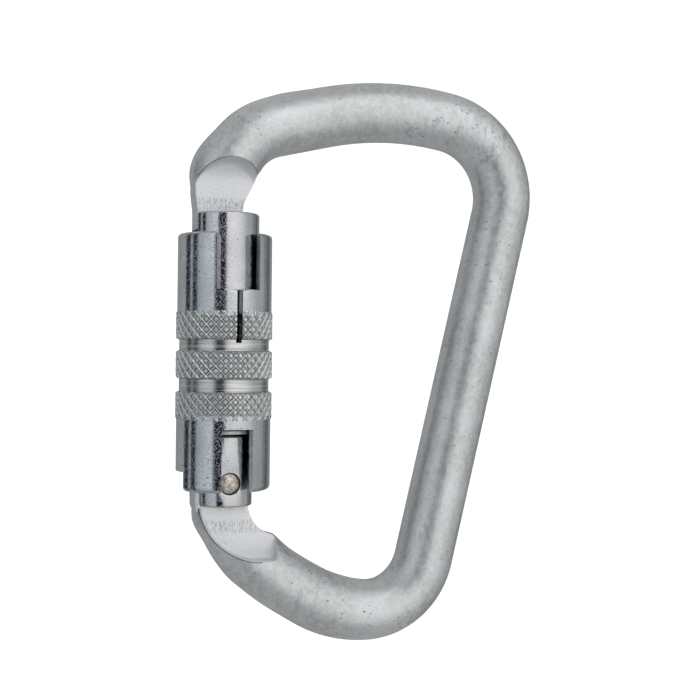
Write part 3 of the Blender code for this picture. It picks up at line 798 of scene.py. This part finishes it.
def nose_outlines():
    """What the nose loses through its whole width: the inner relief and the end below."""
    below = CENTRELINE[0][1] - GAP
    right = NOSE_LOBE[-1][0] + BAR_RADIUS
    lobe = eased_line(NOSE_LOBE, 6)
    relief = [(NOSE_INNER_EDGE, below), *lobe, (right, NOSE_LOBE[-1][1]), (right, below)]
    swept = math.hypot(SLEEVE_TOP, SLEEVE_RADIUS) + GAP
    reach = math.asin((BAR_RADIUS + GAP) / swept)
    swing = arc((0.0, 0.0), swept, math.pi / 2 - reach, math.pi / 2 + reach, 16)
    end = [*swing, (swing[-1][0], below), (swing[0][0], below)]
    return relief, end


def hinge_core():
    """The cam-ended plate that the hinge tongue is made from."""
    cam = []
    steps = 60
    for step in range(steps + 1):
        angle = -math.pi / 2 + math.pi * step / steps
        if angle < 0:
            radius = CAM_RADIUS + (TONGUE_EDGE - CAM_RADIUS) * -angle / (math.pi / 2)
        else:
            radius = CAM_RADIUS + CAM_RISE * min(angle, CAM_SPAN)
        cam.append((radius * math.sin(angle), radius * math.cos(angle)))
    return [*cam, *HINGE_EDGE]


def make_body():
    """The bent bar with its two milled tongues."""
    bar_finish = zinc_body()
    flat_finish = milled_flat()
    body = object_from("carabiner_body", make_bar(bar_centreline()), bar_finish)
    relief, end = nose_outlines()
    nose_core = [(-TONGUE_EDGE, CENTRELINE[0][1]), *NOSE_EDGE, (NOSE_INNER_EDGE, NOSE_FLAT_HEIGHT),
                 (NOSE_INNER_EDGE, CENTRELINE[0][1])]
    cores = []
    for name, outline in (("nose_core", nose_core), ("hinge_core", hinge_core())):
        cores.append(object_from(name, plate(outline, -TONGUE_FACE, TONGUE_FACE), bar_finish))
    combine(body, cores, "UNION")
    tools = flat_tools("nose_flat", nose_flat, NOSE_FOOT, flat_finish)
    tools += flat_tools("hinge_flat", hinge_flat, HINGE_FOOT, flat_finish)
    through = {
        "relief": relief, "end": end,
        "hinge_relief": circle(HINGE_RELIEF, HINGE_RELIEF_RADIUS, 96),
        "hole": circle((0.0, 0.0), RIVET_HOLE, 64),
    }
    for name, outline in through.items():
        tools.append(object_from(name, plate(outline, -REACH, REACH), bar_finish))
    combine(body, tools)
    soften(body, MILLED_EDGE)
    finish_piece(body, "body", ["frame"])


# ---------------------------------------------------------------- gate pieces
def across_y(name, profile, segments, finish, height=0.0):
    """A piece turned about the Y axis, at a height above the rivet."""
    made = object_from(name, turned(profile, segments), finish)
    made.rotation_euler.x = -math.pi / 2
    made.location.z += height
    return made


def make_barrel():
    """The turned barrel, with its two slots, its bore and its two cross holes."""
    finish = plated("plated_barrel", (0.6, 0.605, 0.62), (0.7, 0.705, 0.72), (0.04, 0.08), 0.0015 * MM,
                    0.013 * MM)
    corners = [
        (0, BARREL_BOTTOM), (LOWER_RADIUS, BARREL_BOTTOM), (LOWER_RADIUS, LOWER_TOP),
        (WAIST_RADIUS, LOWER_TOP), (WAIST_RADIUS, SHOULDER), (UPPER_RADIUS, SHOULDER),
        (UPPER_RADIUS, BARREL_TOP), (0, BARREL_TOP),
    ]
    barrel = object_from("gate_barrel_turned", turned(rounded_profile(corners, BARREL_EDGE, 5), 160), finish)
    half = TONGUE_FACE + GAP
    side = UPPER_RADIUS + GAP
    fork = [(-side, BARREL_BOTTOM - GAP), (side, BARREL_BOTTOM - GAP), (side, FORK_TOP), (-side, FORK_TOP)]
    wall = NOSE_INNER_EDGE + GAP
    above = BARREL_TOP + GAP
    slot = [(-side, SLOT_FLOOR), (wall, SLOT_FLOOR), (wall, above), (-side, above)]
    bore = [(0, FORK_TOP - GAP), (BORE_RADIUS, FORK_TOP - GAP), (BORE_RADIUS, BORE_TOP), (0, BORE_TOP)]
    pin_reach = pin_low.y - GAP
    pin_bore = PIN_RADIUS + GAP / 2
    pin_hole = [(0, pin_reach), (pin_bore, pin_reach), (pin_bore, REACH), (0, REACH)]
    combine(barrel, [
        object_from("fork", plate(fork, -half, half), finish),
        object_from("slot", plate(slot, -half, half), finish),
        object_from("rivet_hole", plate(circle((0.0, 0.0), RIVET_HOLE, 64), -REACH, REACH), finish),
        object_from("bore", turned(bore, 48), finish),
        across_y("pin_hole", pin_hole, 40, finish, PIN_HEIGHT),
    ])
    soften(barrel, SLOTTED_EDGE, 50)
    finish_piece(barrel, "gate", ["gate_barrel"])


def make_rivet():
    """Low domed rivet heads, slightly warm, with a stepped rim."""
    n = Finish("rivet_steel")
    blotch = n.noise(900.0, 4.0, 0.7)
    grain = n.noise(3000.0, 2.0)
    colour = n.mixed(n.between(blotch, 0.3, 0.7), (0.42, 0.37, 0.32), (0.84, 0.78, 0.71))
    stain = n.between(n.noise(1500.0, 3.0, 0.75), 0.52, 0.6)
    colour = n.marked(colour, stain, 0.65, (0.2, 0.17, 0.15))
    roughness = n.between(grain, 0.3, 0.7, 0.3, 0.42)
    n.bumps([(blotch, 0.03 * MM), (grain, 0.01 * MM)])
    finish = n.surface(colour, roughness)
    end = RIVET_HALF
    rim = 0.42 * MM
    rise = 0.3 * MM
    dome = [(0, end)]
    steps = 10
    for step in range(1, steps + 1):
        share = step / steps
        radius = (RIVET_RADIUS - 0.12 * MM) * share
        dome.append((radius, end - rise * share ** 2.4))
    dome.append((RIVET_RADIUS, end - rim))
    mirrored = [(radius, -height) for radius, height in reversed(dome)]
    rivet = across_y("hinge_rivet_domed", dome + mirrored, 72, finish)
    finish_piece(rivet, "gate", ["hinge_rivet"])


def make_pin():
    finish = small_steel("ground_pin", (0.4, 0.4, 0.42), (0.55, 0.55, 0.56), (0.2, 0.35))
    inner = pin_low.y
    outer = pin_high.y
    corners = [(0, inner), (PIN_RADIUS, inner), (PIN_RADIUS, outer), (0, outer)]
    pin = across_y("guide_pin_ground", rounded_profile(corners, 0.28 * MM), 40, finish, PIN_HEIGHT)
    finish_piece(pin, "gate", ["guide_pin"])


def ring_piece(name, node, body, finish, chamfer):
    low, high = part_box(node)
    outer = (high.y - low.y) / 2
    bottom = low.z - RIVET.z
    top = high.z - RIVET.z
    corners = [(RING_BORE, bottom), (RING_BORE, top), (outer, top), (outer, bottom)]
    ring = object_from(name, turned(rounded_profile(corners, chamfer, 3), 96), finish)
    finish_piece(ring, body, [node])


def make_rings():
    pressed = small_steel("pressed_washer", (0.42, 0.47, 0.43), (0.6, 0.65, 0.6), (0.28, 0.45))
    seat = small_steel("turned_seat", (0.46, 0.47, 0.48), (0.6, 0.61, 0.62), (0.2, 0.35))
    polymer = small_steel("moulded_polymer", (0.02, 0.02, 0.022), (0.05, 0.05, 0.052), (0.4, 0.6), 0.0)
    ring_piece("lift_washer_pressed", "lift_washer", "lift", pressed, 0.14 * MM)
    ring_piece("spring_seat_turned", "spring_seat", "sleeve", seat, 0.2 * MM)
    ring_piece("upper_washer_moulded", "upper_washer", "gate", polymer, 0.14 * MM)


def coil(radius, wire, turns, bottom, top):
    """A spring whose last turns close up flat, with its wire's centre from bottom to top."""
    steps = turns * 40
    lead = wire * 2.04
    points = []
    for step in range(steps + 1):
        turn = turns * step / steps
        angle = math.tau * turn
        if turn < CLOSED_TURN:
            height = bottom + lead * (turn / CLOSED_TURN) * 0.5
        elif turn > turns - CLOSED_TURN:
            height = top - lead * ((turns - turn) / CLOSED_TURN) * 0.5
        else:
            open_share = (turn - CLOSED_TURN) / (turns - 2 * CLOSED_TURN)
            height = bottom + lead * 0.5 + (top - bottom - lead) * open_share
        points.append((radius * math.cos(angle), radius * math.sin(angle), height))
    return tube(points, wire, 12, Vector((0, 0, 1)))


def spring_piece(name, node, size, finish):
    """A spring inside its CAD box."""
    wire, turns = size
    low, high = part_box(node)
    radius = (high.y - low.y) / 2 - wire
    shape = coil(radius, wire, turns, low.z - RIVET.z + wire, high.z - RIVET.z - wire)
    spring = object_from(name, shape, finish)
    finish_piece(spring, "gate", [node])
    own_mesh(spring)


def make_springs():
    wire = small_steel("spring_wire", (0.33, 0.33, 0.34), (0.5, 0.5, 0.51), (0.22, 0.36))
    spring_piece("sleeve_return_spring", "sleeve_spring", SLEEVE_SPRING, wire)
    spring_piece("gate_closing_spring", "gate_spring", GATE_SPRING, wire)


def make_plunger():
    finish = small_steel("ground_plunger", (0.48, 0.48, 0.5), (0.62, 0.62, 0.63), (0.16, 0.28))
    radius = (plunger_high.y - plunger_low.y) / 2
    tip = plunger_low.z - RIVET.z
    top = plunger_high.z - RIVET.z
    dome = arc((0.0, tip + radius), radius, -math.pi / 2, 0, 12)[1:]
    profile = [(0, tip), *dome, (radius, top - 0.2 * MM), (radius - 0.2 * MM, top), (0, top)]
    plunger = object_from("gate_plunger_domed", turned(profile, 48), finish)
    finish_piece(plunger, "plunger", ["gate_plunger"])


# ---------------------------------------------------------------- sleeve
def eased(value, low, high):
    """0 below low to 1 above high, with soft ends."""
    share = min(max((value - low) / (high - low), 0.0), 1.0)
    return share * share * (3 - 2 * share)


def knurl_level(turn, height):
    """0 in the valleys beside a ridge, under a half on a cell's flat middle and 1 on a ridge.

    Two sets of helical ridges cross each other."""
    pitch = math.tau * KNURL_RADIUS / KNURL_CELLS
    away = 1.0
    for lean in (1, -1):
        phase = turn * KNURL_CELLS / math.tau + lean * height / pitch
        away = min(away, abs(phase - round(phase)) * 2)
    ridge = 1.0 - eased(away, 0.06, 0.34)
    middle = 0.45 * eased(away, 0.34, 0.62)
    return ridge + middle


def plain_rows(top, bottom, radius, below_band):
    """Rows of an uncut stretch, closer beside a knurled band to keep the band's shading out of it."""
    start = top
    rows = []
    if below_band:
        for gap in BAND_GAPS:
            rows.append((top - gap, radius, None))
        start = top - BAND_GAPS[-1]
    end = bottom + BAND_GAPS[-1]
    steps = max(2, round((start - end) / PLAIN_STEP))
    for step in range(1, steps + 1):
        rows.append((start + (end - start) * step / steps, radius, None))
    rows.append((bottom + BAND_GAPS[0], radius, None))
    return rows


def sleeve_rows():
    """Heights down the outside of the sleeve, each as (height, plain radius, band or None)."""
    rows = []
    edge = SLEEVE_TOP_EDGE
    for radius, height in arc((SLEEVE_RADIUS - edge, SLEEVE_TOP - edge), edge, math.pi / 2, 0, 8):
        rows.append((height, radius, None))
    pitch = math.tau * KNURL_RADIUS / KNURL_CELLS / SAMPLES_PER_CELL
    above = SLEEVE_TOP - edge
    for low, high in reversed(KNURL_BANDS):
        outer_end = high == KNURL_BANDS[-1][1]
        plain = SLEEVE_RADIUS if outer_end else GROOVE_RADIUS
        rows.extend(plain_rows(above, high, plain, not outer_end))
        count = round((high - low) / pitch)
        for step in range(count + 1):
            rows.append((high + (low - high) * step / count, None, (low, high)))
        above = low
    bottom = SLEEVE_BOTTOM + SLEEVE_BOTTOM_EDGE
    rows.extend(plain_rows(above, bottom, SLEEVE_RADIUS, True))
    edge = SLEEVE_BOTTOM_EDGE
    for radius, height in arc((SLEEVE_RADIUS - edge, bottom), edge, 0, -math.pi / 2, 8)[1:]:
        rows.append((height, radius, None))
    return rows


def row_radius(turn, height, plain, band):
    """Radius, ridge level and how far the knurl has run out, at one point of the sleeve's outside."""
    if band is None:
        return plain, 0.0, 1.0
    low, high = band
    level = knurl_level(turn, height)
    radius = KNURL_RADIUS - RIDGE_HEIGHT * (1.0 - level)
    upper = height > (low + high) / 2
    edge = high - height if upper else height - low
    outer_end = band == (KNURL_BANDS[-1] if upper else KNURL_BANDS[0])
    if outer_end:
        share = eased(edge - KNURL_RUN_OUT * (1.0 - level), 0.0, KNURL_OUTER_RISE)
        return SLEEVE_RADIUS + (radius - SLEEVE_RADIUS) * share, level, 1.0 - share
    share = eased(edge + RIDGE_LEAD * level, 0.0, KNURL_GROOVE_RISE)
    return GROOVE_RADIUS + (radius - GROOVE_RADIUS) * share, level * share, 0.0


def sleeve_shell(plain_finish, knurl_finish, groove_finish):
    """The sleeve before its openings are cut, with real knurl ridges."""
    columns = KNURL_CELLS * SAMPLES_PER_CELL
    shape = bmesh.new()
    ridge = shape.verts.layers.float.new("ridge")
    uncut = shape.verts.layers.float.new("uncut")
    rings = []
    finishes = []
    bore_rows = [(SLEEVE_BOTTOM, SLEEVE_BORE, None), (SLEEVE_TOP, SLEEVE_BORE, None)]
    for height, plain, band in sleeve_rows() + bore_rows:
        ring = []
        for column in range(columns):
            turn = math.tau * column / columns
            radius, level, left = row_radius(turn, height, plain, band)
            vert = shape.verts.new((radius * math.cos(turn), radius * math.sin(turn), height))
            vert[ridge] = level
            vert[uncut] = left
            ring.append(vert)
        rings.append(ring)
        finishes.append(1 if band else 2 if plain == GROOVE_RADIUS else 0)
    for index in range(len(rings)):
        following = (index + 1) % len(rings)
        both = {finishes[index], finishes[following]}
        finish_index = 1 if both == {1} else 2 if 2 in both else 0
        for column in range(columns):
            beside = (column + 1) % columns
            face = shape.faces.new((rings[index][column], rings[index][beside],
                                    rings[following][beside], rings[following][column]))
            face.material_index = finish_index
    made = object_from("locking_sleeve_knurled", shape, plain_finish, math.radians(60))
    made.data.materials.append(knurl_finish)
    made.data.materials.append(groove_finish)
    return made


def flared_cutter(name, width, bottom, top, turn, finishes, chamfer, flare_bottom=True):
    """A block cut outwards through the wall, flared near the surface so that its edges are chamfered.

    The finishes are the cut walls' and the chamfers'."""
    shape = bmesh.new()
    sections = [
        (-WAIST_RADIUS, 0.0), (-(SLEEVE_RADIUS - chamfer), 0.0),
        (-(SLEEVE_RADIUS + chamfer), 2 * chamfer), (-REACH, 2 * chamfer),
    ]
    rings = []
    for depth, grow in sections:
        low = bottom - grow if flare_bottom else bottom
        high = top if flare_bottom else top + grow
        half = width / 2 + grow
        corners = ((-half, low), (half, low), (half, high), (-half, high))
        rings.append([shape.verts.new((x, depth, z)) for x, z in corners])
    walls = skin(shape, rings)
    for face in walls[4:8]:
        face.material_index = 1
    tool = object_from(name, shape, finishes[0])
    tool.data.materials.append(finishes[1])
    tool.rotation_euler.z = turn
    return tool


def pocket_tool(finish):
    """The pocket in the bore that the guide pin sweeps as the sleeve lifts and twists."""
    margin = (PIN_RADIUS + GAP) / pin_high.y
    start = math.pi / 2 - margin
    end = math.pi / 2 + SLEEVE_TWIST + margin
    outer = arc((0.0, 0.0), POCKET_RADIUS, start, end, 40)
    inner = arc((0.0, 0.0), LOWER_RADIUS, end, start, 40)
    low = PIN_HEIGHT - SLEEVE_LIFT - PIN_RADIUS - GAP
    high = PIN_HEIGHT + PIN_RADIUS + GAP
    tool = object_from("pin_pocket", plate([*outer, *inner], -high, -low), finish)
    tool.rotation_euler.x = -math.pi / 2
    return tool


def make_sleeve():
    """The locking sleeve with its knurl, its notch and slit, its window and the slot on its outer side."""
    plain = plated("plated_sleeve", (0.56, 0.59, 0.61), (0.66, 0.69, 0.71), (0.045, 0.09), 0.002 * MM,
                   0.013 * MM)
    wall = cut_wall("cut_wall_steel", 0.55 * MM, (0.26, 0.42), 1.0)
    window_wall = cut_wall("window_wall_steel", 0.15 * MM, (0.45, 0.6), 0.35)
    # Painted highlight: the chamfers round the openings get a pale, partly diffuse finish that shows as a
    # bright line.
    chamfer_highlight = small_steel("chamfer_highlight_steel", (0.62, 0.64, 0.65), (0.92, 0.92, 0.92), (0.3, 0.45), 0.4)
    cut = (wall, chamfer_highlight)
    lower_cut = (window_wall, chamfer_highlight)
    sleeve = sleeve_shell(plain, knurl_steel(), turned_groove())
    above = SLEEVE_TOP + GAP
    below = SLEEVE_BOTTOM - GAP
    combine(sleeve, [
        flared_cutter("notch", NOTCH_WIDTH, NOTCH_FLOOR, above, FRONT_TURN, cut, NOTCH_CHAMFER),
        flared_cutter("slit", SLIT_WIDTH, SLIT_BOTTOM, NOTCH_FLOOR + GAP, FRONT_TURN, cut, SLIT_CHAMFER),
        flared_cutter("window", WINDOW_WIDTH, below, WINDOW_TOP, FRONT_TURN, lower_cut,
                      WINDOW_CHAMFER, False),
        flared_cutter("outer_slot", OUTER_SLOT_WIDTH, below, OUTER_SLOT_TOP, OUTER_SLOT_TURN, lower_cut,
                      OUTER_SLOT_CHAMFER, False),
        pocket_tool(wall),
    ])
    finish_piece(sleeve, "sleeve", ["locking_sleeve"], math.radians(50))


# ---------------------------------------------------------------- floor, light and camera
def make_floor():
    """A plain pale floor, well below the hanging object."""
    shape = bmesh.new()
    bmesh.ops.create_grid(shape, x_segments=1, y_segments=1, size=6.0)
    floor = object_from("floor", shape)
    floor.location = (0.0, 0.0, CAD_LOW.z - FLOOR_DROP)
    made = bpy.data.materials.new("floor_white")
    made.use_nodes = True
    shader = made.node_tree.nodes["Principled BSDF"]
    shader.inputs["Base Color"].default_value = (0.9, 0.9, 0.9, 1.0)
    shader.inputs["Roughness"].default_value = 0.9
    shader.inputs["Emission Color"].default_value = (1.0, 1.0, 1.0, 1.0)
    shader.inputs["Emission Strength"].default_value = 0.75
    floor.data.materials.append(made)
    floor.visible_glossy = False


# Brightness of the studio round the object: (azimuth in degrees, colour). 0 is in front (-Y), and
# positive azimuths are towards +X. The narrow dark gaps lie between the white panels.
STUDIO = (
    (-180, (0.34, 0.35, 0.35)), (-160, (0.31, 0.32, 0.32)), (-124, (0.45, 0.47, 0.47)),
    (-121, (0.014, 0.015, 0.028)), (-107, (0.014, 0.015, 0.028)), (-104, (0.52, 0.55, 0.57)),
    (-100, (0.52, 0.55, 0.57)), (-97, (0.012, 0.013, 0.025)), (-86, (0.012, 0.013, 0.025)),
    (-82, (0.44, 0.48, 0.51)), (-60, (0.62, 0.66, 0.7)), (-41, (0.78, 0.8, 0.82)),
    (-36, (0.014, 0.015, 0.028)), (-12, (0.014, 0.015, 0.028)), (-8, (0.86, 0.86, 0.87)),
    (12, (1.0, 1.0, 1.0)), (40, (0.88, 0.89, 0.89)), (68, (0.46, 0.48, 0.48)),
    (100, (0.42, 0.44, 0.44)), (112, (0.12, 0.13, 0.13)), (122, (0.12, 0.13, 0.13)),
    (132, (0.34, 0.35, 0.35)), (180, (0.3, 0.31, 0.31)),
)
# How that brightness falls off with height: (sine of the elevation, share).
FALL_OFF = ((-1.0, 0.6), (-0.7, 0.72), (-0.35, 0.88), (0.0, 1.0), (0.45, 1.12), (0.75, 1.0), (1.0, 0.85))
# The plain grey above and below, and the sines of the elevations where it begins and takes over.
OVERHEAD = (0.5, 0.51, 0.515)
OVERHEAD_FROM = 0.5
OVERHEAD_FULL = 0.75
BACKDROP = 1.15
FLOOR_DROP = 45 * MM


def ramp(n, value, stops):
    """Picks a colour for a value from (value, colour) stops."""
    low = stops[0][0]
    high = stops[-1][0]
    node = n.add("ShaderNodeValToRGB")
    elements = node.color_ramp.elements
    elements[0].color = (*stops[0][1], 1.0)
    elements[1].color = (*stops[-1][1], 1.0)
    for position, colour in stops[1:-1]:
        element = elements.new((position - low) / (high - low))
        element.color = (*colour, 1.0)
    n.link(n.between(value, low, high, ease="LINEAR"), node.inputs["Fac"])
    return node.outputs["Color"]


def make_studio():
    """White panels with dark gaps between them, seen only in reflections. The backdrop is white."""
    world = bpy.data.worlds.new("studio")
    bpy.context.scene.world = world
    world.use_nodes = True
    world.node_tree.nodes.clear()
    n = Nodes(world.node_tree, "Generated")
    place = n.split_place()
    front = n.maths("MULTIPLY", place["Y"], -1.0)
    azimuth = n.maths("DEGREES", n.maths("ARCTAN2", place["X"], front))
    panels = ramp(n, azimuth, STUDIO)
    steep = n.between(n.maths("ABSOLUTE", place["Z"]), OVERHEAD_FROM, OVERHEAD_FULL)
    canopy = n.mixed(steep, panels, OVERHEAD)
    fall = ramp(n, place["Z"], [(height, (share, share, share)) for height, share in FALL_OFF])
    studio = n.add("ShaderNodeBackground")
    n.link(n.mixed(1.0, canopy, fall, "MULTIPLY"), studio.inputs["Color"])
    white = n.add("ShaderNodeBackground")
    white.inputs["Color"].default_value = (1.0, 1.0, 1.0, 1.0)
    white.inputs["Strength"].default_value = BACKDROP
    choose = n.add("ShaderNodeMixShader")
    n.link(n.add("ShaderNodeLightPath").outputs["Is Camera Ray"], choose.inputs["Fac"])
    n.link(studio.outputs["Background"], choose.inputs[1])
    n.link(white.outputs["Background"], choose.inputs[2])
    n.link(choose.outputs["Shader"], n.add("ShaderNodeOutputWorld").inputs["Surface"])


def make_lamp():
    """One large soft lamp overhead, in front."""
    data = bpy.data.lights.new("soft_lamp", "AREA")
    data.shape = "RECTANGLE"
    data.size = 0.5
    data.size_y = 0.35
    data.energy = 0.35
    lamp = bpy.data.objects.new("soft_lamp", data)
    bpy.context.scene.collection.objects.link(lamp)
    lamp.location = (0.12, -0.45, 0.5)
    lamp.rotation_euler = (Vector((0, 0, -0.04)) - lamp.location).to_track_quat("-Z", "Y").to_euler()


CAMERA_AZIMUTH = math.radians(-20)
CAMERA_DISTANCE = 242.9 * MM
CAMERA_AIM = Vector((-9.98 * MM, 0.0, -42.6 * MM))
CAMERA_ROLL = math.radians(0.64)
CAMERA_LENS = 61.7


def make_camera():
    data = bpy.data.cameras.new("camera")
    data.lens = CAMERA_LENS
    data.sensor_width = 36.0
    data.clip_start = 0.01
    data.clip_end = 50.0
    camera = bpy.data.objects.new("camera", data)
    bpy.context.scene.collection.objects.link(camera)
    back = Vector((math.sin(CAMERA_AZIMUTH), -math.cos(CAMERA_AZIMUTH), 0.0))
    right = Vector((math.cos(CAMERA_AZIMUTH), math.sin(CAMERA_AZIMUTH), 0.0))
    up = Vector((0.0, 0.0, 1.0))
    turned_right = right * math.cos(CAMERA_ROLL) + up * math.sin(CAMERA_ROLL)
    turned_up = up * math.cos(CAMERA_ROLL) - right * math.sin(CAMERA_ROLL)
    basis = Matrix((turned_right, turned_up, back)).transposed()
    camera.matrix_world = Matrix.Translation(CAMERA_AIM + back * CAMERA_DISTANCE) @ basis.to_4x4()
    bpy.context.scene.camera = camera


make_body()
make_barrel()
make_rivet()
make_pin()
make_rings()
make_springs()
make_plunger()
make_sleeve()
make_floor()
make_studio()
make_lamp()
make_camera()
bpy.context.scene.view_settings.view_transform = "Standard"
